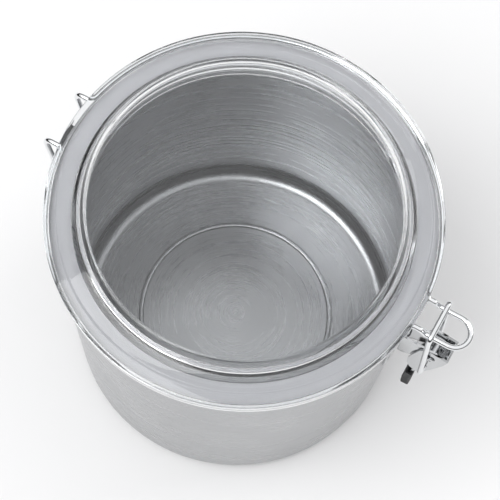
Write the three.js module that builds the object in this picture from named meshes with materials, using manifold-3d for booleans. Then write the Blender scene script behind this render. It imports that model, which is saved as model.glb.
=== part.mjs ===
// A round steel food canister with a clear hinged lid and a toggle clamp.
// Millimetres, +Z up. The origin is the centre of the flat base, the clamp is on the -Y side
// and the hinge on the +Y side. Both pivots of the clamp and the lid's hinge run along X.

import * as THREE from 'three';
import { mergeVertices } from 'three/addons/utils/BufferGeometryUtils.js';
import Module from 'manifold-3d';

const wasm = await Module();
wasm.setup();

// ---------------------------------------------------------------- driving dimensions

const GAP = 0.3;                 // air between neighbouring pieces
const ROUND = 64;                // sides of the turned pieces

const LID_RADIUS = 101.5;
const EDGE_Z = 181;              // top of the lid's widest edge, above the table
const LID_TOP = 8.5;             // lid levels count from the widest edge
const LID_THICKNESS = 4.5;
const FLANGE_BOTTOM = -6.5;
const GROOVE_RADIUS = 98;
const GROOVE_BOTTOM = -10;
const SKIRT_RADIUS = 99.4;
const SKIRT_BOTTOM = -11.8;
const PLUG_OUTER = 86;
const PLUG_INNER = 82.2;
const PLUG_BOTTOM = -15.5;       // shallow, so that the lid swings clear of the rim

const CAN_RADIUS = 97.5;
const WALL = 1;
const RIM_BEAD = 2.2;            // radius of the rolled rim
const RIM_RADIUS = 97;           // to the middle of the rolled rim
const RIM_TOP = -14.3;
const BASE_CORNER = 9;
const BASE_BEAD_RADIUS = 59;     // the stiffening ring pressed up in the base
const BASE_BEAD_HEIGHT = 1.4;

const WIRE = 1.5;                // radius of every wire
const WIRE_SIDES = 4;            // half the sides of a wire's section
const HOOP_RADIUS = GROOVE_RADIUS + GAP + WIRE;
const HOOP_Z = FLANGE_BOTTOM - 0.25 - WIRE;
const TONGUE_HALF = 8.2;         // from the middle to a tongue leg's middle
const TONGUE_TIP = 128.6;        // radius that the tongue's middle line reaches
const TONGUE_Z = -11;

const HINGE = new THREE.Vector2(105.5, -50);       // distance behind the middle, and level
const HINGE_LEG_HALF = 15;
const HINGE_LEG_OUT = 110.6;
const KNUCKLE_HALF = 11;
const KNUCKLE_RADIUS = 3.2;
const STRAP_HALF_ANGLE = THREE.MathUtils.degToRad(9.5);

// In the clamp's side view, x is the distance from the canister's middle and y the level.
const LEVER_PIVOT = new THREE.Vector2(117, -48.5);
const LINK_PIVOT = new THREE.Vector2(116, -62.5);
const LINK_BAR = new THREE.Vector2(111.5, -7.3);
const LINK_HALF = 11.6;
const SHEET = 1.2;               // thickness of the clamp's sheet steel
const LEVER_HALF = 6.6;          // outside of the lever's cheeks
const BLADE_HALF = 4;
const CLEVIS_HALF = 5;         // outside of the clevis ears
const EAR_RADIUS = 5.5;
const PIN_RADIUS = 1.8;
const PIN_HEAD_RADIUS = 2.7;
const CLEVIS_BACK = 99.3;
const CLEVIS_TOP = -42;
const CLEVIS_BOTTOM = -66;
const RIVET_LEVELS = { upper: -47, lower: -61 };
const RIVET_RADIUS = 1.6;
const RIVET_HEAD_RADIUS = 2.8;
const TIP_WALL = 1.1;            // thickness of the vinyl over the lever's blade

// ---------------------------------------------------------------- finishes

const finish = (color, roughness, metalness, extra = {}) =>
	new THREE.MeshStandardMaterial({ color, roughness, metalness, ...extra });

const brushedSteel = finish(0xb9babb, 0.34, 1);
const chrome = finish(0xdfe1e3, 0.12, 1);
const clearAcrylic = finish(0xe9edf0, 0.06, 0, { transparent: true, opacity: 0.35 });
const silicone = finish(0xe4e3e6, 0.55, 0, { transparent: true, opacity: 0.8 });
const blackVinyl = finish(0x191a1c, 0.5, 0);

// ---------------------------------------------------------------- shape helpers

const p2 = (x, y) => new THREE.Vector2(x, y);
const p3 = (x, y, z) => new THREE.Vector3(x, y, z);

function merged(geometry) {
	geometry.deleteAttribute('normal');
	geometry.deleteAttribute('uv');
	return mergeVertices(geometry, 1e-4);
}

function toSolid(geometry) {
	const welded = merged(geometry);
	return new wasm.Manifold(new wasm.Mesh({
		numProp: 3,
		vertProperties: new Float32Array(welded.attributes.position.array),
		triVerts: new Uint32Array(welded.index.array),
	}));
}

function toGeometry(solid) {
	const mesh = solid.getMesh();
	const geometry = new THREE.BufferGeometry();
	geometry.setAttribute('position', new THREE.BufferAttribute(mesh.vertProperties, 3));
	geometry.setIndex(new THREE.BufferAttribute(mesh.triVerts, 1));
	return geometry;
}

// Points of an arc in a side view, from one angle to another in degrees.
function arc(centreX, centreY, radius, from, to, count) {
	return Array.from({ length: count + 1 }, (_, i) => {
		const angle = THREE.MathUtils.degToRad(from + (to - from) * i / count);
		return p2(centreX + radius * Math.cos(angle), centreY + radius * Math.sin(angle));
	});
}

// A ring or cup turned about Z from a closed outline of radius and level.
function turned(outline, lift = EDGE_Z) {
	const closed = [...outline, outline[0]];
	const geometry = new THREE.LatheGeometry(closed, ROUND);
	geometry.rotateX(Math.PI / 2);
	geometry.translate(0, 0, lift);
	return geometry;
}

// A plate cut to a side view outline and given a width along X.
function sidePlate(outline, width, middleX = 0) {
	const geometry = new THREE.ExtrudeGeometry(new THREE.Shape(outline), {
		depth: width, bevelEnabled: false,
	});
	geometry.translate(0, 0, -width / 2);
	geometry.applyMatrix4(new THREE.Matrix4().makeBasis(p3(0, -1, 0), p3(0, 0, 1), p3(-1, 0, 0)));
	geometry.translate(middleX, 0, EDGE_Z);
	return geometry;
}

// A pin along X through a point of the side view.
function crossPin(at, radius, from, to, sides = 20) {
	const geometry = new THREE.CylinderGeometry(radius, radius, to - from, sides);
	geometry.rotateZ(Math.PI / 2);
	geometry.translate((from + to) / 2, -at.x, EDGE_Z + at.y);
	return geometry;
}

// The outline of a bent sheet: a side view line thickened to its left and to its right.
function band(line, left, right) {
	const offset = (distance) => line.map((point, i) => {
		const before = line[Math.max(i - 1, 0)];
		const after = line[Math.min(i + 1, line.length - 1)];
		const along = after.clone().sub(before).normalize();
		return p2(point.x + along.y * distance, point.y - along.x * distance);
	});
	return [...offset(-left), ...offset(right).reverse()];
}

// The middle line of a bent wire. Its rings stand exactly on the listed points.
class BentLine extends THREE.Curve {
	constructor(points) {
		super();
		this.points = points;
	}

	getPoint(t, target = new THREE.Vector3()) {
		const place = t * (this.points.length - 1);
		const i = Math.min(Math.floor(place), this.points.length - 2);
		return target.lerpVectors(this.points[i], this.points[i + 1], place - i);
	}

	getPointAt(u, target) {
		return this.getPoint(u, target);
	}

	getTangentAt(u, target = new THREE.Vector3()) {
		const last = this.points.length - 1;
		const i = Math.round(u * last);
		const here = this.points[i];
		const back = here.clone().sub(this.points[Math.max(i - 1, 0)]).normalize();
		const on = this.points[Math.min(i + 1, last)].clone().sub(here).normalize();
		return target.copy(back).add(on).normalize();
	}
}

// Rounds each corner that states a bend radius; the others stay as they are.
function bent(corners, segments = 4) {
	const points = [];
	corners.forEach((corner, i) => {
		if (!corner.bend) {
			points.push(corner.at);
			return;
		}
		const towards = corners[i - 1].at.clone().sub(corner.at).normalize();
		const onwards = corners[i + 1].at.clone().sub(corner.at).normalize();
		const reach = corner.bend / Math.tan(towards.angleTo(onwards) / 2);
		const start = corner.at.clone().addScaledVector(towards, reach);
		const end = corner.at.clone().addScaledVector(onwards, reach);
		points.push(...new THREE.QuadraticBezierCurve3(start, corner.at, end).getPoints(segments));
	});
	return points;
}

function wire(points) {
	const section = new THREE.Shape();
	section.absarc(0, 0, WIRE, 0, Math.PI * 2);
	return new THREE.ExtrudeGeometry(section, {
		steps: points.length - 1,
		extrudePath: new BentLine(points),
		curveSegments: WIRE_SIDES,
	});
}

// A curved strap that lies against the canister's wall, about the middle of one side.
function wallStrap(side, halfAngle, bottom, top) {
	const middle = side * Math.PI / 2;
	const inner = CAN_RADIUS + GAP;
	const shape = new THREE.Shape();
	shape.absarc(0, 0, inner + SHEET, middle - halfAngle, middle + halfAngle, false);
	shape.absarc(0, 0, inner, middle + halfAngle, middle - halfAngle, true);
	const geometry = new THREE.ExtrudeGeometry(shape, {
		depth: top - bottom, bevelEnabled: false, curveSegments: 8,
	});
	geometry.translate(0, 0, EDGE_Z + bottom);
	return geometry;
}

// ---------------------------------------------------------------- the canister

function canisterShell() {
	const height = EDGE_Z + RIM_TOP;
	const bead = (lift) => [
		p2(BASE_BEAD_RADIUS + 3, lift),
		p2(BASE_BEAD_RADIUS + 1.6, lift + BASE_BEAD_HEIGHT),
		p2(BASE_BEAD_RADIUS - 1.6, lift + BASE_BEAD_HEIGHT),
		p2(BASE_BEAD_RADIUS - 3, lift),
	];
	const cornerX = CAN_RADIUS - BASE_CORNER;
	const outline = [
		p2(0, 0),
		...bead(0).reverse(),
		...arc(cornerX, BASE_CORNER, BASE_CORNER, -90, 0, 4),
		...arc(RIM_RADIUS, height - RIM_BEAD, RIM_BEAD, -75, 245, 9),
		...arc(cornerX, BASE_CORNER, BASE_CORNER - WALL, 0, -90, 3),
		...bead(WALL),
		p2(0, WALL),
	];
	return turned(outline, 0);
}

function hingePlate() {
	const leafTop = -57;
	const leafLine = [
		p2(-CAN_RADIUS - GAP, leafTop - 8),
		p2(-CAN_RADIUS - GAP, leafTop),
		p2(-CAN_RADIUS - 2.2, leafTop + 3.6),
		p2(-HINGE.x + 1.4, HINGE.y - 1.2),
	];
	const middle = p2(-HINGE.x, HINGE.y);
	const body = toSolid(wallStrap(1, STRAP_HALF_ANGLE, -86, leafTop - 2))
		.add(toSolid(sidePlate(band(leafLine, SHEET, 0), KNUCKLE_HALF * 2)))
		.add(toSolid(crossPin(middle, KNUCKLE_RADIUS, -KNUCKLE_HALF, KNUCKLE_HALF)))
		.subtract(toSolid(crossPin(middle, WIRE + GAP, -KNUCKLE_HALF - 1, KNUCKLE_HALF + 1)));
	return toGeometry(body);
}

// ---------------------------------------------------------------- the lid

function lidCover() {
	const underside = LID_TOP - LID_THICKNESS;
	return turned([
		p2(0, underside),
		p2(PLUG_INNER - 3, underside),
		p2(PLUG_INNER - 0.8, underside - 2.4),
		p2(PLUG_INNER, PLUG_BOTTOM + 0.8),
		p2(PLUG_INNER + 0.8, PLUG_BOTTOM),
		p2(PLUG_OUTER - 0.8, PLUG_BOTTOM),
		p2(PLUG_OUTER, PLUG_BOTTOM + 0.8),
		p2(PLUG_OUTER, SKIRT_BOTTOM),
		p2(SKIRT_RADIUS, SKIRT_BOTTOM),
		p2(SKIRT_RADIUS, GROOVE_BOTTOM - 0.2),
		p2(GROOVE_RADIUS, GROOVE_BOTTOM),
		p2(GROOVE_RADIUS, FLANGE_BOTTOM),
		p2(LID_RADIUS - 0.7, FLANGE_BOTTOM),
		p2(LID_RADIUS, FLANGE_BOTTOM + 0.9),
		p2(LID_RADIUS, -1.6),
		p2(LID_RADIUS - 0.5, -0.5),
		p2(LID_RADIUS - 1.7, 0),
		p2(95.2, 0.7),
		p2(94.2, 1.7),
		p2(87.2, 2.3),
		p2(84.4, 3.6),
		p2(81.2, LID_TOP - 0.9),
		p2(79.4, LID_TOP),
		p2(0, LID_TOP),
	]);
}

function lidGasket() {
	const inner = PLUG_OUTER + GAP;
	const top = SKIRT_BOTTOM - GAP;
	return turned([
		p2(inner, -15.3),
		p2(92.1, -15.3),
		p2(92.7, -14.8),
		p2(93.1, -14),
		p2(97.6, RIM_TOP + GAP),
		p2(98.1, -13.4),
		p2(97.9, top),
		p2(inner, top),
	]);
}

// One wire: from the hinge, out and over into the groove round the lid, and out into the tongue.
function lidWire() {
	const side = (sign) => {
		const legAngle = Math.asin(HINGE_LEG_HALF / HOOP_RADIUS);
		const tongueAngle = Math.PI - Math.asin(TONGUE_HALF / HOOP_RADIUS);
		const onHoop = (angle) =>
			p3(sign * HOOP_RADIUS * Math.sin(angle), HOOP_RADIUS * Math.cos(angle), HOOP_Z);
		const margin = 0.07;
		const count = 22;
		const hoop = Array.from({ length: count + 1 }, (_, i) => {
			const angle = THREE.MathUtils.lerp(legAngle + margin, tongueAngle - margin, i / count);
			return { at: onHoop(angle) };
		});
		const legX = sign * HINGE_LEG_HALF;
		const tongueX = sign * TONGUE_HALF;
		return [
			{ at: p3(sign * 4, HINGE.x, HINGE.y) },
			{ at: p3(legX, HINGE.x, HINGE.y), bend: 3 },
			{ at: p3(legX, HINGE_LEG_OUT, HOOP_Z - 0.6), bend: 5 },
			{ at: onHoop(legAngle), bend: 4 },
			...hoop,
			{ at: onHoop(tongueAngle), bend: 4 },
			{ at: p3(tongueX, -HOOP_RADIUS - 5.2, HOOP_Z - 0.4), bend: 1.5 },
			{ at: p3(tongueX, -HOOP_RADIUS - 8.2, TONGUE_Z), bend: 1.5 },
		];
	};
	const roundStart = TONGUE_TIP - TONGUE_HALF;
	const tip = arc(0, -roundStart, TONGUE_HALF, 0, -180, 12)
		.map((point) => ({ at: p3(point.x, point.y, TONGUE_Z + 0.4) }));
	const corners = [...side(1), ...tip, ...side(-1).reverse()];
	const points = bent(corners);
	points.forEach((point) => point.setZ(point.z + EDGE_Z));
	return wire(points);
}

// ---------------------------------------------------------------- the clamp

function rivetHole(level) {
	const length = 12;
	const geometry = new THREE.CylinderGeometry(RIVET_RADIUS + GAP, RIVET_RADIUS + GAP, length, 20);
	geometry.translate(0, -CLEVIS_BACK, EDGE_Z + level);
	return toSolid(geometry);
}

function withRivetHoles(solid) {
	return Object.values(RIVET_LEVELS).reduce((cut, level) => cut.subtract(rivetHole(level)), solid);
}

function latchPlate() {
	const strap = toSolid(wallStrap(-1, STRAP_HALF_ANGLE, CLEVIS_BOTTOM - 4, CLEVIS_TOP + 2));
	return toGeometry(withRivetHoles(strap));
}

function clevisRivet(level) {
	const back = CAN_RADIUS + GAP;
	const shankEnd = CLEVIS_BACK + SHEET + GAP - back;
	const headRise = 0.5;
	const dome = arc(0, 0, RIVET_HEAD_RADIUS, 0, 90, 4)
		.map((point) => p2(point.x, shankEnd + point.y * headRise));
	const profile = [p2(0, 0), p2(RIVET_RADIUS, 0), p2(RIVET_RADIUS, shankEnd), ...dome];
	const geometry = new THREE.LatheGeometry([...profile, profile[0]], 20);
	geometry.rotateX(Math.PI);
	geometry.translate(0, -back, EDGE_Z + level);
	return geometry;
}

function latchClevis() {
	const web = [
		p2(CLEVIS_BACK, CLEVIS_BOTTOM),
		p2(CLEVIS_BACK + SHEET, CLEVIS_BOTTOM),
		p2(CLEVIS_BACK + SHEET, CLEVIS_TOP),
		p2(CLEVIS_BACK, CLEVIS_TOP),
	];
	const ear = [
		p2(CLEVIS_BACK, CLEVIS_BOTTOM),
		p2(CLEVIS_BACK + 3, CLEVIS_BOTTOM),
		...arc(LEVER_PIVOT.x, LEVER_PIVOT.y, EAR_RADIUS, -60, 80, 9),
		p2(CLEVIS_BACK + 4, CLEVIS_TOP),
		p2(CLEVIS_BACK, CLEVIS_TOP),
	];
	const earX = CLEVIS_HALF - SHEET / 2;
	const body = toSolid(sidePlate(web, CLEVIS_HALF * 2))
		.add(toSolid(sidePlate(ear, SHEET, earX)))
		.add(toSolid(sidePlate(ear, SHEET, -earX)))
		.subtract(toSolid(crossPin(LEVER_PIVOT, PIN_RADIUS + GAP, -20, 20)));
	return toGeometry(withRivetHoles(body));
}

function leverPivotPin() {
	const headIn = LEVER_HALF + GAP;
	const headOut = headIn + 0.7;
	const body = toSolid(crossPin(LEVER_PIVOT, PIN_RADIUS, -headIn - 0.1, headIn + 0.1))
		.add(toSolid(crossPin(LEVER_PIVOT, PIN_HEAD_RADIUS, headIn, headOut)))
		.add(toSolid(crossPin(LEVER_PIVOT, PIN_HEAD_RADIUS, -headOut, -headIn)));
	return toGeometry(body);
}

// The lever's outer line in side view, from the top of its back to the tip of its blade.
const leverBack = [
	p2(125.8, -40.5),
	p2(124.6, -48.5),
	p2(121.9, -58.5),
	p2(119, -68.5),
	p2(116.4, -77.5),
];
const leverBlade = [
	p2(116.4, -77.5),
	p2(113.9, -86),
	p2(112.2, -95),
	p2(111.5, -103.5),
	p2(112, -111.5),
	p2(113.2, -118),
];

function latchLever() {
	const cheek = [
		p2(113.6, -38),
		...leverBack,
		p2(113.8, -79.5),
		p2(109.6, -77),
		p2(107.2, -72),
		p2(106.8, -65.5),
		p2(107.8, -56.5),
		p2(110.2, -45),
	];
	const blade = [leverBack.at(-2), ...leverBlade.slice(0, -1)];
	const cheekX = LEVER_HALF - SHEET / 2;
	const body = toSolid(sidePlate(cheek, SHEET, cheekX))
		.add(toSolid(sidePlate(cheek, SHEET, -cheekX)))
		.add(toSolid(sidePlate(band(leverBack, 0, SHEET), LEVER_HALF * 2)))
		.add(toSolid(sidePlate(band(blade, 0, SHEET), BLADE_HALF * 2)))
		.subtract(toSolid(crossPin(LEVER_PIVOT, PIN_RADIUS + GAP, -20, 20)))
		.subtract(toSolid(crossPin(LINK_PIVOT, WIRE + GAP, -20, 20)));
	return toGeometry(body);
}

// A vinyl sleeve that is pushed up over the blade.
function thumbTip() {
	const over = GAP + TIP_WALL;
	const sleeve = band(leverBlade.slice(2), over, SHEET + over);
	const pocket = band(leverBlade.slice(1, -1), GAP, SHEET + GAP);
	const body = toSolid(sidePlate(sleeve, (BLADE_HALF + over) * 2))
		.subtract(toSolid(sidePlate(pocket, (BLADE_HALF + GAP) * 2)));
	return toGeometry(body);
}

function linkWire() {
	const inner = LEVER_HALF - SHEET - 1;
	const side = (sign) => [
		{ at: p3(sign * inner, -LINK_PIVOT.x, LINK_PIVOT.y) },
		{ at: p3(sign * LINK_HALF, -LINK_PIVOT.x, LINK_PIVOT.y), bend: 2.4 },
		{ at: p3(sign * LINK_HALF, -LINK_BAR.x, LINK_BAR.y), bend: 3.2 },
	];
	const points = bent([...side(1), ...side(-1).reverse()], 6);
	points.forEach((point) => point.setZ(point.z + EDGE_Z));
	return wire(points);
}

// ---------------------------------------------------------------- the assembly

function piece(name, geometry, material) {
	const mesh = new THREE.Mesh(geometry, material);
	mesh.name = name;
	return mesh;
}

const canister = new THREE.Group();
canister.add(
	piece('canister_shell', canisterShell(), brushedSteel),
	piece('hinge_plate', hingePlate(), chrome),
	piece('latch_plate', latchPlate(), chrome),
	piece('latch_clevis', latchClevis(), chrome),
	piece('clevis_rivet_upper', clevisRivet(RIVET_LEVELS.upper), chrome),
	piece('clevis_rivet_lower', clevisRivet(RIVET_LEVELS.lower), chrome),
	piece('lever_pivot_pin', leverPivotPin(), chrome),
);

const lid = new THREE.Group();
lid.add(
	piece('lid_cover', lidCover(), clearAcrylic),
	piece('lid_gasket', lidGasket(), silicone),
	piece('lid_wire', lidWire(), chrome),
);

const clamp = new THREE.Group();
clamp.add(
	piece('latch_lever', latchLever(), chrome),
	piece('thumb_tip', thumbTip(), blackVinyl),
	piece('link_wire', linkWire(), chrome),
);

const model = new THREE.Group();
model.add(canister, lid, clamp);

export default model;
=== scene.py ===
"""The looks of a wide steel food canister with a clear hinged lid and a toggle clamp.

The CAD model is the fixed frame. Every new piece is modelled in metres in that frame, replaces
the CAD nodes that it stands for, and rides on their body.
"""

import logging
import math
from collections.abc import Callable, Sequence
from dataclasses import dataclass
from enum import Enum

import bpy
from mathutils import Matrix, Vector


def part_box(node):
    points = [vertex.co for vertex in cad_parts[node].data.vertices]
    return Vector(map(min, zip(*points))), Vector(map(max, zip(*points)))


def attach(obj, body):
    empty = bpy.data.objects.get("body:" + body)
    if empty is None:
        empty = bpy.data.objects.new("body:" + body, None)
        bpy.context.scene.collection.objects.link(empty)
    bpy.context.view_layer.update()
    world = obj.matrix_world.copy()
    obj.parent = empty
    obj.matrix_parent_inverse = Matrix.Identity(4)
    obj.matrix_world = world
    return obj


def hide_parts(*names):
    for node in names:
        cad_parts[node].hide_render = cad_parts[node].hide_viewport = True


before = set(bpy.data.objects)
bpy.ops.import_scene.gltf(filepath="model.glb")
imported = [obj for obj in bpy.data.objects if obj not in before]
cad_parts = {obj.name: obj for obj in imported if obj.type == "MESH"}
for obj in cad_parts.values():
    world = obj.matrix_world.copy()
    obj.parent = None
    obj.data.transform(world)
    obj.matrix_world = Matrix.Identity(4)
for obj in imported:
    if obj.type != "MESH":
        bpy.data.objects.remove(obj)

LOG = logging.getLogger("canister")
MM = 0.001
TURN = 2.0 * math.pi
ORIGIN = Vector((0.0, 0.0, 0.0))
ACROSS = Vector((1.0, 0.0, 0.0))
UP = Vector((0.0, 0.0, 1.0))
LID_RISE = 8.5 * MM
EDGE_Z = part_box("lid_cover")[1].z - LID_RISE
LID_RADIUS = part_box("lid_cover")[1].x
LID_MIDDLE = Vector((0.0, 0.0, EDGE_Z))
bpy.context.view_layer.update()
WELD = 1e-6              # corners closer than this are one, in metres
CAD_WELD = 2e-6          # the same in a copy of a CAD node
SAME = 0.01 * MM         # places closer than this count as the same
FLAT = math.radians(1.0)

Outline = Sequence[tuple[float, float]]
Sockets = dict[str, bpy.types.NodeSocket]


class Body(Enum):
    """The bodies of the frame that pieces ride on."""

    CANISTER = "canister"
    LID = "lid"
    LEVER = "lever"
    LINK = "link"


class Slot(Enum):
    """The record's material slots."""

    BRUSHED = "brushed_steel"
    SHEET = "polished_steel"
    WIRE = "polished_wire"
    ACRYLIC = "clear_acrylic"
    SILICONE = "silicone"
    VINYL = "black_vinyl"


class Effect(Enum):
    """What changes over a surface, each a shader node group of this name."""

    ROUND_GRAIN = "Grain round the axis"
    UPRIGHT_GRAIN = "Grain along the height"
    HANDLING = "Handling"
    PORES = "Pores"
    EDGE_RUB = "Edge rub"


# ------------------------------------------------------------------ shader node groups


class NodeSheet:
    """A small helper that lays nodes out in one node tree."""

    def __init__(self, tree: bpy.types.NodeTree) -> None:
        """Keep the tree and start it empty."""
        self.tree = tree
        tree.nodes.clear()

    def node(self, kind: str, **values: object) -> bpy.types.Node:
        """Add a node and set its properties.

        Args:
            kind: The node's type name.
            values: Properties of the node.

        Returns:
            The new node.
        """
        made = self.tree.nodes.new(kind)
        made.location.x = 180.0 * len(self.tree.nodes)
        for name, value in values.items():
            setattr(made, name, value)
        return made

    def join(self, source: bpy.types.NodeSocket, target: bpy.types.NodeSocket) -> None:
        """Link one socket to another."""
        self.tree.links.new(source, target)

    def math(self, operation: str, *inputs: float | bpy.types.NodeSocket) -> bpy.types.NodeSocket:
        """Add a math node.

        Args:
            operation: The math node's operation.
            inputs: Numbers or sockets, in order.

        Returns:
            The result's socket.
        """
        made = self.node("ShaderNodeMath", operation=operation)
        for i, value in enumerate(inputs):
            if isinstance(value, bpy.types.NodeSocket):
                self.join(value, made.inputs[i])
            else:
                made.inputs[i].default_value = value
        return made.outputs[0]

    def scaled(self, vector: bpy.types.NodeSocket,
               scale: float | bpy.types.NodeSocket) -> bpy.types.NodeSocket:
        """Add a node that scales coordinates.

        Args:
            vector: The coordinates.
            scale: The factor, a number or a socket.

        Returns:
            The scaled coordinates' socket.
        """
        made = self.node("ShaderNodeVectorMath", operation="SCALE")
        self.join(vector, made.inputs[0])
        if isinstance(scale, bpy.types.NodeSocket):
            self.join(scale, made.inputs["Scale"])
        else:
            made.inputs["Scale"].default_value = scale
        return made.outputs[0]

    def noise(self, vector: bpy.types.NodeSocket, scale: float, detail: float,
              roughness: float = 0.5) -> bpy.types.NodeSocket:
        """Add a noise texture.

        Args:
            vector: The coordinates that it reads.
            scale: Cells per unit.
            detail: Octaves.
            roughness: How strong the fine octaves are.

        Returns:
            The noise's value.
        """
        made = self.node("ShaderNodeTexNoise")
        made.inputs["Scale"].default_value = scale
        made.inputs["Detail"].default_value = detail
        made.inputs["Roughness"].default_value = roughness
        self.join(vector, made.inputs["Vector"])
        return made.outputs["Fac"]


def new_group(effect: Effect, inputs: dict[str, float],
              outputs: Sequence[str]) -> tuple[NodeSheet, Sockets, Sockets]:
    """Start a shader node group that reads Object coordinates and puts out values.

    Args:
        effect: The effect that the group draws.
        inputs: Each number input's name and default.
        outputs: Each value output's name.

    Returns:
        The sheet to lay nodes on, its input sockets and its output sockets by name.
    """
    tree = bpy.data.node_groups.new(effect.value, "ShaderNodeTree")
    tree.interface.new_socket("Vector", in_out="INPUT", socket_type="NodeSocketVector")
    for label, value in inputs.items():
        socket = tree.interface.new_socket(label, in_out="INPUT", socket_type="NodeSocketFloat")
        socket.default_value = value
    for label in outputs:
        tree.interface.new_socket(label, in_out="OUTPUT", socket_type="NodeSocketFloat")
    sheet = NodeSheet(tree)
    entry = sheet.node("NodeGroupInput")
    leave = sheet.node("NodeGroupOutput")
    ins = {socket.name: socket for socket in entry.outputs}
    outs = {socket.name: socket for socket in leave.inputs}
    return sheet, ins, outs


def grain_group(effect: Effect) -> bpy.types.NodeTree:
    """Make the group that draws the fine lines of brushed or polished metal.

    Args:
        effect: ROUND_GRAIN or UPRIGHT_GRAIN, the way that the lines run.

    Returns:
        The group, with Tone and Height outputs.
    """
    sheet, ins, outs = new_group(effect, {"Lines": 2600.0, "Length": 3.0}, ("Tone", "Height"))
    parts = sheet.node("ShaderNodeSeparateXYZ")
    sheet.join(ins["Vector"], parts.inputs[0])
    x, y, z = parts.outputs
    if effect is Effect.ROUND_GRAIN:
        radius = sheet.math("SQRT", sheet.math("ADD", sheet.math("POWER", x, 2.0),
                                               sheet.math("POWER", y, 2.0)))
        across = sheet.math("MULTIPLY", sheet.math("ADD", radius, z), ins["Lines"])
        stretched = (sheet.math("MULTIPLY", x, ins["Length"]),
                     sheet.math("MULTIPLY", y, ins["Length"]), across)
    else:
        stretched = (sheet.math("MULTIPLY", x, ins["Lines"]),
                     sheet.math("MULTIPLY", y, ins["Lines"]),
                     sheet.math("MULTIPLY", z, ins["Length"]))
    packed = sheet.node("ShaderNodeCombineXYZ")
    for i, socket in enumerate(stretched):
        sheet.join(socket, packed.inputs[i])
    fine = sheet.noise(packed.outputs[0], scale=1.0, detail=3.0, roughness=0.7)
    broad = sheet.noise(packed.outputs[0], scale=0.09, detail=2.0)
    broad_share, fine_share = 0.6, 0.4
    tone = sheet.math("MULTIPLY_ADD", broad, broad_share, sheet.math("MULTIPLY", fine, fine_share))
    sheet.join(tone, outs["Tone"])
    sheet.join(fine, outs["Height"])
    return sheet.tree


def handling_group() -> bpy.types.NodeTree:
    """Make the group of soft smudges and hairline scratches that handling leaves.

    Returns:
        The group, with Smudge and Scratch outputs.
    """
    sheet, ins, outs = new_group(Effect.HANDLING, {"Size": 30.0}, ("Smudge", "Scratch"))
    stretch, rare = (1.0, 22.0, 4.0), 0.74
    scaled = sheet.scaled(ins["Vector"], ins["Size"])
    sheet.join(sheet.noise(scaled, scale=1.0, detail=4.0, roughness=0.6), outs["Smudge"])
    warp = sheet.node("ShaderNodeVectorMath", operation="MULTIPLY")
    warp.inputs[1].default_value = stretch
    sheet.join(scaled, warp.inputs[0])
    streak = sheet.noise(warp.outputs[0], scale=2.0, detail=2.0)
    sheet.join(sheet.math("GREATER_THAN", streak, rare), outs["Scratch"])
    return sheet.tree


def pores_group() -> bpy.types.NodeTree:
    """Make the group of fine pores and mottling on a soft moulded skin.

    Returns:
        The group, with Mottle and Height outputs.
    """
    sheet, ins, outs = new_group(Effect.PORES, {"Size": 1800.0}, ("Mottle", "Height"))
    scaled = sheet.scaled(ins["Vector"], ins["Size"])
    sheet.join(sheet.noise(scaled, scale=0.05, detail=3.0), outs["Mottle"])
    sheet.join(sheet.noise(scaled, scale=1.0, detail=2.0, roughness=0.6), outs["Height"])
    return sheet.tree


def edge_rub_group() -> bpy.types.NodeTree:
    """Make the group that marks edges, where a finish is rubbed bright.

    Returns:
        The group, with a Rub output.
    """
    sheet, ins, outs = new_group(Effect.EDGE_RUB, {"Spread": 0.5}, ("Rub",))
    untouched, rubbed, patches = 0.51, 0.6, 400.0
    geometry = sheet.node("ShaderNodeNewGeometry")
    ramp = sheet.node("ShaderNodeMapRange")
    ramp.inputs["From Min"].default_value = untouched
    ramp.inputs["From Max"].default_value = rubbed
    sheet.join(geometry.outputs["Pointiness"], ramp.inputs["Value"])
    scaled = sheet.scaled(ins["Vector"], patches)
    broken = sheet.math("MULTIPLY", sheet.noise(scaled, scale=1.0, detail=2.0), ins["Spread"])
    sheet.join(sheet.math("MULTIPLY", ramp.outputs[0], broken), outs["Rub"])
    return sheet.tree


GROUPS: dict[Effect, bpy.types.NodeTree] = {
    Effect.ROUND_GRAIN: grain_group(Effect.ROUND_GRAIN),
    Effect.UPRIGHT_GRAIN: grain_group(Effect.UPRIGHT_GRAIN),
    Effect.HANDLING: handling_group(),
    Effect.PORES: pores_group(),
    Effect.EDGE_RUB: edge_rub_group(),
}


# ------------------------------------------------------------------ finishes


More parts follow.
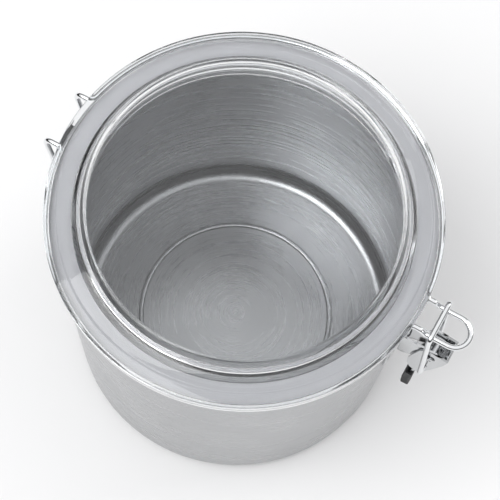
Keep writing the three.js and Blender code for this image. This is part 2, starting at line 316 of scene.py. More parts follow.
@dataclass(frozen=True)
class Finish:
    """One surface finish. Subclasses add what changes over the surface."""

    label: str
    color: tuple[float, float, float]
    roughness: float

    def build(self) -> bpy.types.Material:
        """Make the material.

        Returns:
            The finished material.
        """
        material = bpy.data.materials.new(self.label)
        material.use_nodes = True
        sheet = NodeSheet(material.node_tree)
        shader = sheet.node("ShaderNodeBsdfPrincipled")
        output = sheet.node("ShaderNodeOutputMaterial")
        sheet.join(shader.outputs[0], output.inputs["Surface"])
        shader.inputs["Base Color"].default_value = (*self.color, 1.0)
        shader.inputs["Roughness"].default_value = self.roughness
        self.dress(sheet, shader)
        return material

    def dress(self, sheet: NodeSheet, shader: bpy.types.Node) -> None:
        """Add the finish's own nodes; a plain finish has none."""

    def toned(self, factor: float) -> tuple[float, ...]:
        """The finish's colour made darker or brighter, at most full white."""
        return tuple(min(channel * factor, 1.0) for channel in self.color)

    @staticmethod
    def group(sheet: NodeSheet, effect: Effect, **values: float) -> bpy.types.Node:
        """Place a node group that reads Object coordinates.

        Args:
            sheet: Where to place it.
            effect: The group's effect.
            values: Its number inputs.

        Returns:
            The group node.
        """
        coordinates = sheet.node("ShaderNodeTexCoord")
        made = sheet.node("ShaderNodeGroup", node_tree=GROUPS[effect])
        sheet.join(coordinates.outputs["Object"], made.inputs["Vector"])
        for label, value in values.items():
            made.inputs[label].default_value = value
        return made

    @staticmethod
    def mapped(sheet: NodeSheet, value: bpy.types.NodeSocket, low: float, high: float,
               start: float = 0.0, end: float = 1.0) -> bpy.types.NodeSocket:
        """Map a value's range onto another.

        Args:
            sheet: Where to place the node.
            value: The value.
            low: What start becomes.
            high: What end becomes.
            start: The value's lower limit.
            end: The value's upper limit.

        Returns:
            The mapped value.
        """
        made = sheet.node("ShaderNodeMapRange")
        limits = (("From Min", start), ("From Max", end), ("To Min", low), ("To Max", high))
        for label, number in limits:
            made.inputs[label].default_value = number
        sheet.join(value, made.inputs["Value"])
        return made.outputs[0]

    @staticmethod
    def tinted(sheet: NodeSheet, factor: bpy.types.NodeSocket, first: Sequence[float],
               second: Sequence[float]) -> bpy.types.NodeSocket:
        """Mix two colours by a factor that changes over the surface.

        Args:
            sheet: Where to place the node.
            factor: The share of the second colour.
            first: The colour at 0.
            second: The colour at 1.

        Returns:
            The mixed colour.
        """
        made = sheet.node("ShaderNodeMix", data_type="RGBA")
        made.inputs["A"].default_value = (*first, 1.0)
        made.inputs["B"].default_value = (*second, 1.0)
        sheet.join(factor, made.inputs["Factor"])
        return made.outputs["Result"]

    @staticmethod
    def bump(sheet: NodeSheet, shader: bpy.types.Node, height: bpy.types.NodeSocket,
             strength: float, depth: float) -> None:
        """Feed a height to the shader's normal.

        Args:
            sheet: Where to place the node.
            shader: The shader that it bumps.
            height: The height, from 0 to 1.
            strength: How much of the bump shows.
            depth: The full height in metres.
        """
        made = sheet.node("ShaderNodeBump")
        made.inputs["Strength"].default_value = strength
        made.inputs["Distance"].default_value = depth
        sheet.join(height, made.inputs["Height"])
        sheet.join(made.outputs[0], shader.inputs["Normal"])


@dataclass(frozen=True)
class Metal(Finish):
    """Bare metal, brushed or polished in one direction."""

    grain: Effect = Effect.ROUND_GRAIN
    lines: float = 2600.0
    depth: float = 0.00002
    strength: float = 0.3
    spread: float = 0.08

    def dress(self, sheet: NodeSheet, shader: bpy.types.Node) -> None:
        """Add the grain, its tone and the marks of handling."""
        shader.inputs["Metallic"].default_value = 1.0
        grain = self.group(sheet, self.grain, Lines=self.lines)
        handling = self.group(sheet, Effect.HANDLING, Size=24.0)
        tone = self.mapped(sheet, grain.outputs["Tone"], 0.0, 1.0, start=0.3, end=0.7)
        sheet.join(self.tinted(sheet, tone, self.toned(0.93), self.toned(1.04)),
                   shader.inputs["Base Color"])
        rough = self.mapped(sheet, grain.outputs["Tone"], self.roughness - self.spread,
                            self.roughness + self.spread, start=0.3, end=0.7)
        smudge = self.mapped(sheet, handling.outputs["Smudge"], -0.02, 0.05, start=0.35, end=0.75)
        sheet.join(sheet.math("ADD", rough, smudge), shader.inputs["Roughness"])
        self.bump(sheet, shader, grain.outputs["Height"], self.strength, self.depth)


@dataclass(frozen=True)
class ClearPlastic(Finish):
    """Clear moulded acrylic with faint hairlines."""

    ior: float = 1.49
    fingerprints: float = 0.03

    def dress(self, sheet: NodeSheet, shader: bpy.types.Node) -> None:
        """Make it clear and add fingerprints to its gloss and hairlines to its surface."""
        shader.inputs["IOR"].default_value = self.ior
        shader.inputs["Transmission Weight"].default_value = 1.0
        handling = self.group(sheet, Effect.HANDLING, Size=14.0)
        rough = self.mapped(sheet, handling.outputs["Smudge"], self.roughness,
                            self.roughness + self.fingerprints, start=0.5, end=0.8)
        sheet.join(rough, shader.inputs["Roughness"])
        self.bump(sheet, shader, handling.outputs["Scratch"], strength=0.04, depth=0.000005)


@dataclass(frozen=True)
class SoftRubber(Finish):
    """Translucent silicone with a faint mottle."""

    ior: float = 1.41
    clearness: float = 0.15
    spread: float = 0.08

    def dress(self, sheet: NodeSheet, shader: bpy.types.Node) -> None:
        """Let some light through and mottle the skin."""
        shader.inputs["IOR"].default_value = self.ior
        shader.inputs["Transmission Weight"].default_value = self.clearness
        pores = self.group(sheet, Effect.PORES, Size=1200.0)
        mottle = pores.outputs["Mottle"]
        sheet.join(self.tinted(sheet, mottle, self.color, self.toned(1.08)),
                   shader.inputs["Base Color"])
        rough = self.mapped(sheet, mottle, self.roughness - self.spread,
                            self.roughness + self.spread)
        sheet.join(rough, shader.inputs["Roughness"])
        self.bump(sheet, shader, pores.outputs["Height"], strength=0.15, depth=0.00002)


@dataclass(frozen=True)
class DippedVinyl(Finish):
    """Soft black vinyl, rubbed a little at its edges."""

    gloss: float = 0.3
    spread: float = 0.1

    def dress(self, sheet: NodeSheet, shader: bpy.types.Node) -> None:
        """Add pores, mottling and rubbed edges."""
        shader.inputs["Specular IOR Level"].default_value = self.gloss
        pores = self.group(sheet, Effect.PORES, Size=2200.0)
        edge = self.group(sheet, Effect.EDGE_RUB, Spread=0.9)
        sheet.join(self.tinted(sheet, edge.outputs["Rub"], self.color, self.toned(2.4)),
                   shader.inputs["Base Color"])
        rough = self.mapped(sheet, pores.outputs["Mottle"], self.roughness - self.spread,
                            self.roughness + self.spread)
        sheet.join(rough, shader.inputs["Roughness"])
        self.bump(sheet, shader, pores.outputs["Height"], strength=0.35, depth=0.00004)


FINISHES: dict[Slot, bpy.types.Material] = {
    Slot.BRUSHED: Metal("Brushed steel", (0.4, 0.405, 0.415), 0.28, strength=0.05).build(),
    Slot.SHEET: Metal("Polished sheet steel", (0.6, 0.61, 0.62), 0.1, Effect.UPRIGHT_GRAIN,
                      lines=3000.0, depth=0.000006, strength=0.2, spread=0.04).build(),
    Slot.WIRE: Metal("Polished wire", (0.84, 0.85, 0.86), 0.07, Effect.UPRIGHT_GRAIN,
                     lines=1500.0, depth=0.000003, strength=0.15, spread=0.03).build(),
    Slot.ACRYLIC: ClearPlastic("Clear acrylic", (0.97, 0.98, 0.985), 0.0).build(),
    Slot.SILICONE: SoftRubber("Silicone", (0.74, 0.74, 0.77), 0.42).build(),
    Slot.VINYL: DippedVinyl("Black vinyl", (0.008, 0.008, 0.009), 0.5).build(),
}


# ------------------------------------------------------------------ the modelling bench


class Bench:
    """Edit-mode modelling steps that the sub-assemblies share."""

    @staticmethod
    def pick_up(piece: bpy.types.Object) -> None:
        """Select one piece alone and make it active."""
        bpy.ops.object.select_all(action="DESELECT")
        piece.select_set(True)
        bpy.context.view_layer.objects.active = piece

    @staticmethod
    def vertex(name: str, at: Vector) -> bpy.types.Object:
        """Add a plane, merge it to one vertex and leave it in edit mode.

        Args:
            name: The new object's name.
            at: The vertex's place.

        Returns:
            The new object, its origin at the frame's origin.
        """
        bpy.ops.object.select_all(action="DESELECT")
        bpy.ops.mesh.primitive_plane_add(size=MM, location=ORIGIN)
        made = bpy.context.object
        made.name = name
        bpy.ops.object.mode_set(mode="EDIT")
        bpy.ops.mesh.select_all(action="SELECT")
        bpy.ops.mesh.merge(type="CENTER")
        bpy.ops.transform.translate(value=at)
        return made

    @staticmethod
    def chain(name: str, points: Sequence[Vector]) -> bpy.types.Object:
        """Draw a chain of edges by extruding one vertex from point to point.

        Args:
            name: The new object's name.
            points: The chain's points in metres.

        Returns:
            The new object, still in edit mode.
        """
        made = Bench.vertex(name, points[0])
        for here, there in zip(points, points[1:]):
            bpy.ops.mesh.extrude_vertices_move(TRANSFORM_OT_translate={"value": there - here})
        return made

    @staticmethod
    def clean() -> None:
        """Merge doubles and turn every face outwards, in edit mode."""
        bpy.ops.mesh.select_all(action="SELECT")
        bpy.ops.mesh.remove_doubles(threshold=WELD)
        bpy.ops.mesh.normals_make_consistent(inside=False)

    @staticmethod
    def spun(name: str, outline: Outline, steps: int, foot: Vector = ORIGIN,
             axis: Vector = UP, out: Vector = ACROSS) -> bpy.types.Object:
        """Draw an outline of radius and height in millimetres and spin it about an axis.

        Args:
            name: The new object's name.
            outline: Radius and height of each corner; it starts and ends on the axis or closes.
            steps: Faces round the axis.
            foot: The point that heights count from.
            axis: The spin axis.
            out: The direction that the outline is drawn in.

        Returns:
            The new object, in object mode.
        """
        points = [foot + out * radius * MM + axis * height * MM for radius, height in outline]
        made = Bench.chain(name, points)
        bpy.ops.mesh.select_all(action="SELECT")
        bpy.ops.mesh.spin(steps=steps, angle=TURN, center=foot, axis=axis)
        Bench.clean()
        bpy.ops.object.mode_set(mode="OBJECT")
        return made

    @staticmethod
    def wire(name: str, points: Sequence[Vector], radius: float,
             facets: int = 5) -> bpy.types.Object:
        """Draw a wire's middle line and give it a round section.

        Args:
            name: The new object's name.
            points: The middle line.
            radius: The wire's radius in metres.
            facets: Cuts in each quarter of the section.

        Returns:
            The new mesh object, in object mode.
        """
        Bench.chain(name, points)
        bpy.ops.object.mode_set(mode="OBJECT")
        bpy.ops.object.convert(target="CURVE")
        curve = bpy.context.object.data
        curve.bevel_depth = radius
        curve.bevel_resolution = facets
        curve.use_fill_caps = True
        bpy.ops.object.convert(target="MESH")
        made = bpy.context.object
        bpy.ops.object.mode_set(mode="EDIT")
        Bench.clean()
        bpy.ops.object.mode_set(mode="OBJECT")
        return made

    @staticmethod
    def refined(name: str, node: str) -> bpy.types.Object:
        """Copy a CAD node and merge its loose triangles into clean faces.

        Args:
            name: The new object's name.
            node: The CAD node.

        Returns:
            The copy, in object mode.
        """
        made = bpy.data.objects.new(name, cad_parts[node].data.copy())
        bpy.context.scene.collection.objects.link(made)
        made.data.materials.clear()
        Bench.pick_up(made)
        bpy.ops.object.mode_set(mode="EDIT")
        bpy.ops.mesh.select_all(action="SELECT")
        bpy.ops.mesh.remove_doubles(threshold=CAD_WELD)
        bpy.ops.mesh.dissolve_limited(angle_limit=FLAT)
        bpy.ops.object.mode_set(mode="OBJECT")
        return made

    @staticmethod
    def corners(piece: bpy.types.Object, pick: Callable[[Vector, Vector], bool],
                radius: float, segments: int = 6) -> None:
        """Round the corners of a sheet, seen flat on.

        Args:
            piece: The sheet.
            pick: Says of an edge, from its two ends, whether it is such a corner.
            radius: The corner's size in millimetres.
            segments: Faces round each corner.
        """
        Bench.pick_up(piece)
        bpy.ops.object.mode_set(mode="EDIT")
        bpy.ops.mesh.select_mode(type="EDGE")
        bpy.ops.mesh.select_all(action="DESELECT")
        bpy.ops.object.mode_set(mode="OBJECT")
        points = piece.data.vertices
        for edge in piece.data.edges:
            edge.select = pick(*(points[i].co for i in edge.vertices))
        bpy.ops.object.mode_set(mode="EDIT")
        bpy.ops.mesh.bevel(offset=radius * MM, segments=segments, affect="EDGES")
        bpy.ops.mesh.select_mode(type="VERT")
        bpy.ops.object.mode_set(mode="OBJECT")

    @staticmethod
    def strap(name: str, node: str, radius: float) -> bpy.types.Object:
        """Refine a wall strap and round its four corners.

        Args:
            name: The new object's name.
            node: The CAD node.
            radius: The corners' size in millimetres.

        Returns:
            The strap.
        """
        piece = Bench.refined(name, node)
        low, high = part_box(node)
        side = high.x - 0.6 * MM
        thickest = 2.0 * MM

        def is_corner(first: Vector, second: Vector) -> bool:
            """Whether an edge runs through the sheet at one of the strap's corners."""
            level = abs(first.z - second.z) < SAME
            at_end = min(abs(first.z - low.z), abs(first.z - high.z)) < SAME
            at_side = min(abs(first.x), abs(second.x)) > side
            return level and at_end and at_side and (first - second).length < thickest

        Bench.corners(piece, is_corner, radius)
        return piece

    @staticmethod
    def softened(piece: bpy.types.Object, width: float, segments: int = 3,
                 angle: float = 32.0, smooth: float = 32.0) -> bpy.types.Object:
        """Round a piece's hard edges and shade it smooth.

        Args:
            piece: The piece.
            width: The bevel's width in millimetres; at 0 the edges are only shaded.
            segments: The bevel's segments.
            angle: Edges sharper than this many degrees are rounded.
            smooth: Edges sharper than this many degrees stay crisp in the shading.

        Returns:
            The piece.
        """
        Bench.pick_up(piece)
        if width > 0.0:
            bevel = piece.modifiers.new("Soft edges", "BEVEL")
            bevel.width = width * MM
            bevel.segments = segments
            bevel.limit_method = "ANGLE"
            bevel.angle_limit = math.radians(angle)
            bpy.ops.object.modifier_apply(modifier=bevel.name)
        bpy.ops.object.shade_smooth_by_angle(angle=math.radians(smooth))
        return piece

    @staticmethod
    def hand_over(piece: bpy.types.Object, body: Body, slot: Slot, *nodes: str) -> None:
        """Dress a piece, let it ride on its body and let it stand for its CAD nodes.

        Args:
            piece: The finished piece.
            body: The body that it rides on.
            slot: The record's material slot.
            nodes: The CAD nodes that it stands for.
        """
        piece.data.materials.clear()
        piece.data.materials.append(FINISHES[slot])
        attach(piece, body.value)
        if nodes:
            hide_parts(*nodes)
        LOG.info("%s: %d faces on %s", piece.name, len(piece.data.polygons), body.value)


def arc(centre: tuple[float, float], radius: float, start: float, end: float,
        count: int) -> list[tuple[float, float]]:
    """List points of an arc in a side view.

    Args:
        centre: The arc's middle.
        radius: Its radius.
        start: Its first angle in degrees.
        end: Its last angle in degrees.
        count: Steps along it.

    Returns:
        The points from start to end.
    """
    angles = [math.radians(start + (end - start) * i / count) for i in range(count + 1)]
    return [(centre[0] + radius * math.cos(a), centre[1] + radius * math.sin(a)) for a in angles]


@dataclass
class Corner:
    """A corner of a wire's route in millimetres, with the bend that rounds it."""

    at: Vector
    bend: float = 0.0


def bent(corners: Sequence[Corner], segments: int = 10) -> list[Vector]:
    """Round each corner of a route that has a bend, and lift it to the lid's edge.

    Args:
        corners: The route's corners, in millimetres from the middle of the lid's edge.
        segments: Steps through each bend.

    Returns:
        The route's points in metres, in the frame.
    """
    points: list[Vector] = []
    for i, corner in enumerate(corners):
        if not corner.bend:
            points.append(corner.at.copy())
            continue
        towards = (corners[i - 1].at - corner.at).normalized()
        onwards = (corners[i + 1].at - corner.at).normalized()
        reach = corner.bend / math.tan(towards.angle(onwards) / 2.0)
        start, end = corner.at + towards * reach, corner.at + onwards * reach
        for step in range(segments + 1):
            t = step / segments
            points.append(start * (1 - t) ** 2 + corner.at * 2 * t * (1 - t) + end * t ** 2)
    return [point * MM + LID_MIDDLE for point in points]


# ------------------------------------------------------------------ the sub-assemblies


@dataclass
class Can:
    """The drawn steel wall and base, with its rolled rim. Levels count from the base."""

    radius: float = 97.5
    wall: float = 1.0
    corner: float = 9.0
    corner_steps: int = 12
    rim_radius: float = 97.0
    rim_bead: float = 2.2
    rim_roll: tuple[float, float] = (-75.0, 245.0)
    rim_steps: int = 28
    height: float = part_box("canister_shell")[1].z / MM
    ring_radius: float = 59.0
    ring_half: float = 1.6
    ring_foot: float = 3.0
    ring_rise: float = 1.4
    ring_fullness: float = 0.7
    steps: int = 192

    def base_ring(self, lift: float) -> list[tuple[float, float]]:
        """Outline of the ring pressed up in the base.

        Args:
            lift: The level of the sheet's face there.

        Returns:
            The outline, from outside to inside.
        """
        angles = [math.radians(degrees) for degrees in range(0, 181, 20)]
        ring = [(self.ring_radius + self.ring_half * math.cos(a),
                 lift + self.ring_rise * math.sin(a) ** self.ring_fullness) for a in angles]
        return [(self.ring_radius + self.ring_foot, lift), *ring,
                (self.ring_radius - self.ring_foot, lift)]

    def outline(self) -> list[tuple[float, float]]:
        """Outline of the sheet.

        Returns:
            The outline, from the middle of the base round the rim and back.
        """
        corner = (self.radius - self.corner, self.corner)
        rim = (self.rim_radius, self.height - self.rim_bead)
        return [
            (0.0, 0.0),
            *reversed(self.base_ring(0.0)),
            *arc(corner, self.corner, -90.0, 0.0, self.corner_steps),
            *arc(rim, self.rim_bead, *self.rim_roll, self.rim_steps),
            *arc(corner, self.corner - self.wall, 0.0, -90.0, self.corner_steps),
            *self.base_ring(self.wall),
            (0.0, self.wall),
        ]

    def build(self) -> None:
        """Spin the can and hand it over."""
        body = Bench.spun("can_body", self.outline(), self.steps)
        Bench.softened(body, 0.0, smooth=50.0)
        Bench.hand_over(body, Body.CANISTER, Slot.BRUSHED, "canister_shell")


@dataclass
class Lid:
    """The clear cover and its seal. Levels count from the cover's widest edge."""

    steps: int = 192
    radius: float = LID_RADIUS / MM
    top: float = LID_RISE / MM
    thickness: float = 4.5
    plug_outer: float = 86.0
    plug_inner: float = 82.2
    plug_bottom: float = -15.5
    root_reach: float = 3.0
    root_slope: float = 0.8
    root_drop: float = 2.4
    skirt: float = 99.4
    skirt_bottom: float = -11.8
    skirt_top: float = -10.2
    groove: float = 98.0
    groove_bottom: float = -10.0
    groove_top: float = -6.5
    edge_foot: float = -0.6
    edge_inset: float = 1.2
    shoulder: Outline = ((95.2, 0.7), (94.2, 1.7), (87.2, 2.3), (84.4, 3.6))
    flat: float = 80.6
    seal_gap: float = 0.3
    seal_top: float = -12.1
    seal_bottom: float = -15.3
    seal_edge: Outline = ((92.0, -15.3), (92.7, -14.8), (93.1, -14.0),
                          (97.4, -14.0), (98.0, -13.4), (97.9, -12.1))

    def cover_outline(self) -> list[tuple[float, float]]:
        """Outline of the cover.

        Returns:
            The outline, from the middle of its underside round to the middle of its top.
        """
        under = self.top - self.thickness
        return [
            (0.0, under),
            (self.plug_inner - self.root_reach, under),
            (self.plug_inner - self.root_slope, under - self.root_drop),
            (self.plug_inner, self.plug_bottom),
            (self.plug_outer, self.plug_bottom),
            (self.plug_outer, self.skirt_bottom),
            (self.skirt, self.skirt_bottom),
            (self.skirt, self.skirt_top),
            (self.groove, self.groove_bottom),
            (self.groove, self.groove_top),
            (self.radius, self.groove_top),
            (self.radius, self.edge_foot),
            (self.radius - self.edge_inset, 0.0),
            *self.shoulder,
            (self.flat, self.top),
            (0.0, self.top),
        ]

    def seal_outline(self) -> list[tuple[float, float]]:
        """Outline of the seal, a flat washer with a collar round the plug.

        Returns:
            The closed outline, from the top of its inner side.
        """
        inner = self.plug_outer + self.seal_gap
        return [(inner, self.seal_top), (inner, self.seal_bottom), *self.seal_edge,
                (inner, self.seal_top)]

    def build(self) -> None:
        """Spin the cover and the seal and hand them over."""
        cover = Bench.spun("clear_cover", self.cover_outline(), self.steps, LID_MIDDLE)
        Bench.softened(cover, 0.55, segments=4, angle=25.0, smooth=40.0)
        Bench.hand_over(cover, Body.LID, Slot.ACRYLIC, "lid_cover")
        seal = Bench.spun("silicone_seal", self.seal_outline(), self.steps, LID_MIDDLE)
        Bench.softened(seal, 0.2, segments=2, angle=25.0, smooth=50.0)
        Bench.hand_over(seal, Body.LID, Slot.SILICONE, "lid_gasket")


@dataclass
class LidWire:
    """The wire round the lid: hinge ends, hoop and tongue. Levels count from the lid's edge."""

    wire: float = 1.5
    hoop: float = 99.8
    hoop_steps: int = 90
    hoop_bend: float = 4.0
    hoop_margin: float = 0.07    # radians left free for the bends at the hoop's ends
    level: float = -8.25
    hinge_out: float = 105.5
    hinge_level: float = -50.0
    hinge_end: float = 4.0
    hinge_bend: float = 3.0
    leg_half: float = 15.0
    leg_out: float = 110.6
    leg_drop: float = 0.6
    leg_bend: float = 5.0
    neck_out: float = 5.2
    neck_drop: float = 0.4
    tongue_half: float = 8.2
    tongue_foot: float = 8.2
    tongue_tip: float = 128.6
    tongue_level: float = -11.0
    tongue_bend: float = 1.5
    tip_lift: float = 0.4
    tip_steps: int = 28

    def side(self, sign: float) -> list[Corner]:
        """Corners of one half, from the hinge to the tongue.

        Args:
            sign: 1 for the +X half, -1 for the other.

        Returns:
            The corners in millimetres.
        """
        first = math.asin(self.leg_half / self.hoop)
        last = math.pi - math.asin(self.tongue_half / self.hoop)
        margin, count = self.hoop_margin, self.hoop_steps

        def on_hoop(angle: float) -> Vector:
            """A point of the hoop; the angle counts from the hinge side."""
            return Vector((sign * self.hoop * math.sin(angle), self.hoop * math.cos(angle),
                           self.level))

        span = last - first - 2.0 * margin
        leg, tongue = sign * self.leg_half, sign * self.tongue_half
        neck = Vector((tongue, -self.hoop - self.neck_out, self.level - self.neck_drop))
        foot = Vector((tongue, -self.hoop - self.tongue_foot, self.tongue_level))
        return [
            Corner(Vector((sign * self.hinge_end, self.hinge_out, self.hinge_level))),
            Corner(Vector((leg, self.hinge_out, self.hinge_level)), self.hinge_bend),
            Corner(Vector((leg, self.leg_out, self.level - self.leg_drop)), self.leg_bend),
            Corner(on_hoop(first), self.hoop_bend),
            *(Corner(on_hoop(first + margin + span * i / count)) for i in range(count + 1)),
            Corner(on_hoop(last), self.hoop_bend),
            Corner(neck, self.tongue_bend),
            Corner(foot, self.tongue_bend),
        ]

    def build(self) -> None:
        """Draw the whole wire and hand it over."""
        middle = (0.0, self.tongue_half - self.tongue_tip)
        tip = [Corner(Vector((x, y, self.tongue_level + self.tip_lift)))
               for x, y in arc(middle, self.tongue_half, 0.0, -180.0, self.tip_steps)]
        points = bent([*self.side(1.0), *tip, *reversed(self.side(-1.0))])
        piece = Bench.wire("lid_hoop_wire", points, self.wire * MM)
        Bench.softened(piece, 0.0, smooth=60.0)
        Bench.hand_over(piece, Body.LID, Slot.WIRE, "lid_wire")


@dataclass
class Clamp:
    """The toggle clamp: strap, clevis, rivets, pin, lever, thumb tip and link."""

    wire: float = 1.5
    sheet: float = 1.2
    sheet_edge: float = 0.3
    strap_edge: float = 0.25
    strap_corner: float = 3.2
    link_pivot: tuple[float, float] = (116.0, -62.5)
    link_bar: tuple[float, float] = (111.5, -7.3)
    link_half: float = 11.6
    link_inset: float = 1.0
    link_end_bend: float = 2.4
    link_bar_bend: float = 3.2
    lever_half: float = 6.6
    sleeve_corner: float = 3.6
    sleeve_edge: float = 0.9
    rivet_shank: float = 1.6
    rivet_neck: float = 2.6
    rivet_head: float = 2.8
    rivet_dome: float = 1.5
    pin_radius: float = 1.8
    pin_head: float = 2.7
    pin_gap: float = 0.25
    pin_slope: float = 0.5
    pin_chamfer: float = 0.35
    dimple: tuple[float, float] = (0.9, 0.7)
    dimple_wall: float = 0.3
    dimple_depth: float = 0.35

    def plates(self) -> None:
        """Refine the strap and the clevis."""
        strap = Bench.strap("clamp_strap", "latch_plate", self.strap_corner)
        Bench.softened(strap, self.strap_edge)
        Bench.hand_over(strap, Body.CANISTER, Slot.SHEET, "latch_plate")
        clevis = Bench.softened(Bench.refined("clamp_clevis", "latch_clevis"), self.sheet_edge)
        Bench.hand_over(clevis, Body.CANISTER, Slot.SHEET, "latch_clevis")

    def rivet(self, node: str) -> None:
        """Spin one domed rivet and hand it over.

        Args:
            node: The CAD node that it stands for.
        """
        low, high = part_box(node)
        foot = Vector((0.0, high.y, (low.z + high.z) / 2.0))
        length = (high.y - low.y) / MM
        neck = length - self.rivet_dome
        dome = [(self.rivet_head * math.cos(a), neck + self.rivet_dome * math.sin(a))
                for a in (math.radians(degrees) for degrees in range(0, 90, 9))]
        outline = [(0.0, 0.0), (self.rivet_shank, 0.0), (self.rivet_shank, neck),
                   (self.rivet_neck, neck), *dome, (0.0, length)]
        piece = Bench.spun(f"{node}_head", outline, 40, foot, axis=Vector((0.0, -1.0, 0.0)))
        Bench.softened(piece, 0.0, smooth=40.0)
        Bench.hand_over(piece, Body.CANISTER, Slot.SHEET, node)

    def pin(self) -> None:
        """Spin the pivot pin with its two dimpled heads."""
        low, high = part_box("lever_pivot_pin")
        half = (high.x - low.x) / 2.0 / MM
        head = self.lever_half + self.pin_gap
        rim, floor = self.dimple
        right = [(self.pin_radius, head), (self.pin_head, head),
                 (self.pin_head, half - self.pin_chamfer), (self.pin_head - self.pin_slope, half),
                 (rim, half), (floor, half - self.dimple_wall), (0.0, half - self.dimple_depth)]
        left = [(radius, -along) for radius, along in reversed(right)]
        foot = Vector((0.0, (low.y + high.y) / 2.0, (low.z + high.z) / 2.0))
        piece = Bench.spun("pivot_pin", [*left, *right], 48, foot, axis=ACROSS, out=UP)
        Bench.softened(piece, 0.1, segments=2)
        Bench.hand_over(piece, Body.CANISTER, Slot.SHEET, "lever_pivot_pin")

    def lever(self) -> None:
        """Refine the lever and its thumb tip."""
        lever = Bench.softened(Bench.refined("clamp_lever", "latch_lever"), self.sheet_edge)
        Bench.hand_over(lever, Body.LEVER, Slot.SHEET, "latch_lever")
        tip = Bench.refined("thumb_sleeve", "thumb_tip")
        low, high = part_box("thumb_tip")
        depth = 2.0 * MM

        def at_foot(first: Vector, second: Vector) -> bool:
            """Whether an edge runs through the sleeve at one of its lower corners."""
            lowest = max(first.z, second.z) < low.z + depth
            at_side = min(abs(first.x), abs(second.x)) > high.x - SAME
            one_side = first.x * second.x > 0.0
            return lowest and at_side and one_side and abs(first.y - second.y) > depth

        Bench.corners(tip, at_foot, self.sleeve_corner)
        Bench.softened(tip, self.sleeve_edge, segments=4)
        Bench.hand_over(tip, Body.LEVER, Slot.VINYL, "thumb_tip")

    def leg(self, sign: float) -> list[Corner]:
        """Corners of one leg of the link.

        Args:
            sign: 1 for the +X leg, -1 for the other.

        Returns:
            The corners in millimetres, from its end in the cheek to the bar.
        """
        inner = sign * (self.lever_half - self.sheet - self.link_inset)
        outer = sign * self.link_half
        (pivot, pivot_level), (bar, bar_level) = self.link_pivot, self.link_bar
        return [
            Corner(Vector((inner, -pivot, pivot_level))),
            Corner(Vector((outer, -pivot, pivot_level)), self.link_end_bend),
            Corner(Vector((outer, -bar, bar_level)), self.link_bar_bend),
        ]

    def link(self) -> None:
        """Draw the link's wire from cheek to cheek."""
        points = bent([*self.leg(1.0), *reversed(self.leg(-1.0))])
        piece = Bench.wire("clamp_link", points, self.wire * MM)
        Bench.softened(piece, 0.0, smooth=60.0)
        Bench.hand_over(piece, Body.LINK, Slot.WIRE, "link_wire")

    def build(self) -> None:
        """Build every piece of the clamp."""
        self.plates()
        for node in ("clevis_rivet_upper", "clevis_rivet_lower"):
            self.rivet(node)
        self.pin()
        self.lever()
        self.link()


@dataclass
class Hinge:
    """The strap and knuckle at the back."""

    edge: float = 0.25

    def build(self) -> None:
        """Refine the hinge plate and hand it over."""
        plate = Bench.softened(Bench.refined("hinge_strap", "hinge_plate"), self.edge)
        Bench.hand_over(plate, Body.CANISTER, Slot.SHEET, "hinge_plate")


# ------------------------------------------------------------------ the studio


@dataclass(frozen=True)
class Viewpoint:
    """Where the camera stands, as seen from the middle of the lid, and how it is turned."""

    azimuth: float = 294.6
    elevation: float = 68.66
    distance: float = 6.48 * LID_RADIUS
    focal: float = 94.2
    sensor: float = 36.0
    pan: float = -0.37
    tilt: float = -1.73
    roll: float = -5.48
    nearest: float = 0.05
    farthest: float = 20.0

    def build(self) -> None:
        """Add the camera and make it the scene's."""
        turn, rise = math.radians(self.azimuth), math.radians(self.elevation)
        back = Vector((math.sin(turn) * math.cos(rise), -math.cos(turn) * math.cos(rise),
                       math.sin(rise)))
        right = Vector((math.cos(turn), math.sin(turn), 0.0))
        axes = Matrix((right, back.cross(right), back)).transposed()
        axes = axes @ Matrix.Rotation(math.radians(self.pan), 3, "Y")
        axes = axes @ Matrix.Rotation(math.radians(self.tilt), 3, "X")
        axes = axes @ Matrix.Rotation(math.radians(-self.roll), 3, "Z")
        data = bpy.data.cameras.new("Camera")
        data.lens = self.focal
        data.sensor_width = self.sensor
        data.clip_start, data.clip_end = self.nearest, self.farthest
        camera = bpy.data.objects.new("Camera", data)
        bpy.context.scene.collection.objects.link(camera)
        place = LID_MIDDLE + back * self.distance
        camera.matrix_world = Matrix.Translation(place) @ axes.to_4x4()
        bpy.context.scene.camera = camera


@dataclass(frozen=True)
class Softbox:
    """A large area light that faces the object."""

    name: str
    place: tuple[float, float, float]
    size: float
    power: float

    def build(self) -> None:
        """Add the light, turned to the middle of the object."""
        data = bpy.data.lights.new(self.name, "AREA")
        data.shape = "SQUARE"
        data.size = self.size
        data.energy = self.power
        lamp = bpy.data.objects.new(self.name, data)
        bpy.context.scene.collection.objects.link(lamp)
        lamp.location = self.place
        lamp.rotation_mode = "QUATERNION"
        aim = LID_MIDDLE / 2.0 - Vector(self.place)
        lamp.rotation_quaternion = aim.to_track_quat("-Z", "Y")


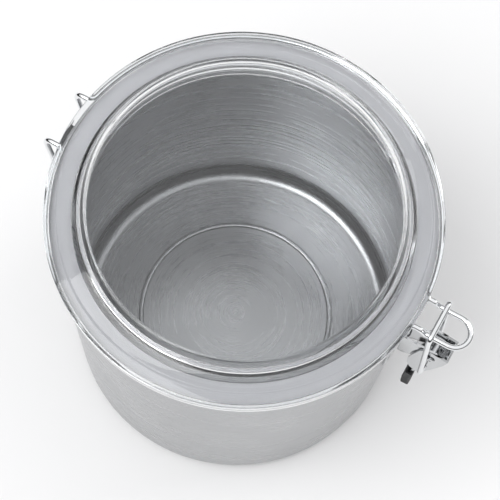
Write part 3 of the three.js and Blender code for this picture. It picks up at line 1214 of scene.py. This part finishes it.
@dataclass(frozen=True)
class Studio:
    """A pale floor, a light tent and two softboxes."""

    floor_size: float = 8.0
    floor_tone: float = 0.86
    floor_gap: float = 0.0005
    backdrop: tuple[float, float, float] = (0.93, 0.935, 0.94)
    tent_stops: Outline = ((0.0, 0.3), (0.42, 0.08), (0.5, 0.0),
                           (0.70, 0.01), (0.80, 0.95), (1.0, 1.05))
    tent_blue: float = 1.01
    lights: tuple[Softbox, ...] = (Softbox("Key", (-0.7, 0.5, 1.5), 1.1, 15.0),
                                   Softbox("Fill", (1.2, -0.9, 1.0), 0.9, 6.0))

    def floor(self) -> None:
        """Add the plain pale floor."""
        bpy.ops.object.select_all(action="DESELECT")
        bpy.ops.mesh.primitive_plane_add(size=self.floor_size, location=(0.0, 0.0, -self.floor_gap))
        floor = bpy.context.object
        floor.name = "floor"
        floor.data.materials.append(Finish("Floor", (self.floor_tone,) * 3, 0.9).build())

    def tent(self) -> None:
        """Make the surroundings, pale to the eye and darker low down in reflections."""
        world = bpy.data.worlds.new("Tent")
        world.use_nodes = True
        sheet = NodeSheet(world.node_tree)
        coordinates = sheet.node("ShaderNodeTexCoord")
        parts = sheet.node("ShaderNodeSeparateXYZ")
        sheet.join(coordinates.outputs["Generated"], parts.inputs[0])
        ramp = sheet.node("ShaderNodeValToRGB")
        elements = ramp.color_ramp.elements
        while len(elements) < len(self.tent_stops):
            elements.new(0.5)
        for element, (place, tone) in zip(elements, self.tent_stops):
            element.position = place
            element.color = (tone, tone, tone * self.tent_blue, 1.0)
        height = sheet.math("MULTIPLY_ADD", parts.outputs["Z"], 0.5, 0.5)
        sheet.join(height, ramp.inputs[0])
        seen = sheet.node("ShaderNodeMix", data_type="RGBA")
        seen.inputs["B"].default_value = (*self.backdrop, 1.0)
        light = sheet.node("ShaderNodeLightPath")
        sheet.join(light.outputs["Is Camera Ray"], seen.inputs["Factor"])
        sheet.join(ramp.outputs[0], seen.inputs["A"])
        background = sheet.node("ShaderNodeBackground")
        sheet.join(seen.outputs["Result"], background.inputs["Color"])
        output = sheet.node("ShaderNodeOutputWorld")
        sheet.join(background.outputs[0], output.inputs["Surface"])
        bpy.context.scene.world = world

    def build(self) -> None:
        """Set up floor, surroundings and lights."""
        self.floor()
        self.tent()
        for light in self.lights:
            light.build()
        bpy.context.scene.view_settings.view_transform = "Standard"


def main() -> None:
    """Build the camera, the pieces and the studio, and note the sizes."""
    logging.basicConfig(level=logging.INFO, format="%(name)s %(message)s")
    Viewpoint().build()
    for part in (Can(), Lid(), LidWire(), Clamp(), Hinge()):
        part.build()
    Studio().build()


if __name__ == "__main__":
    main()
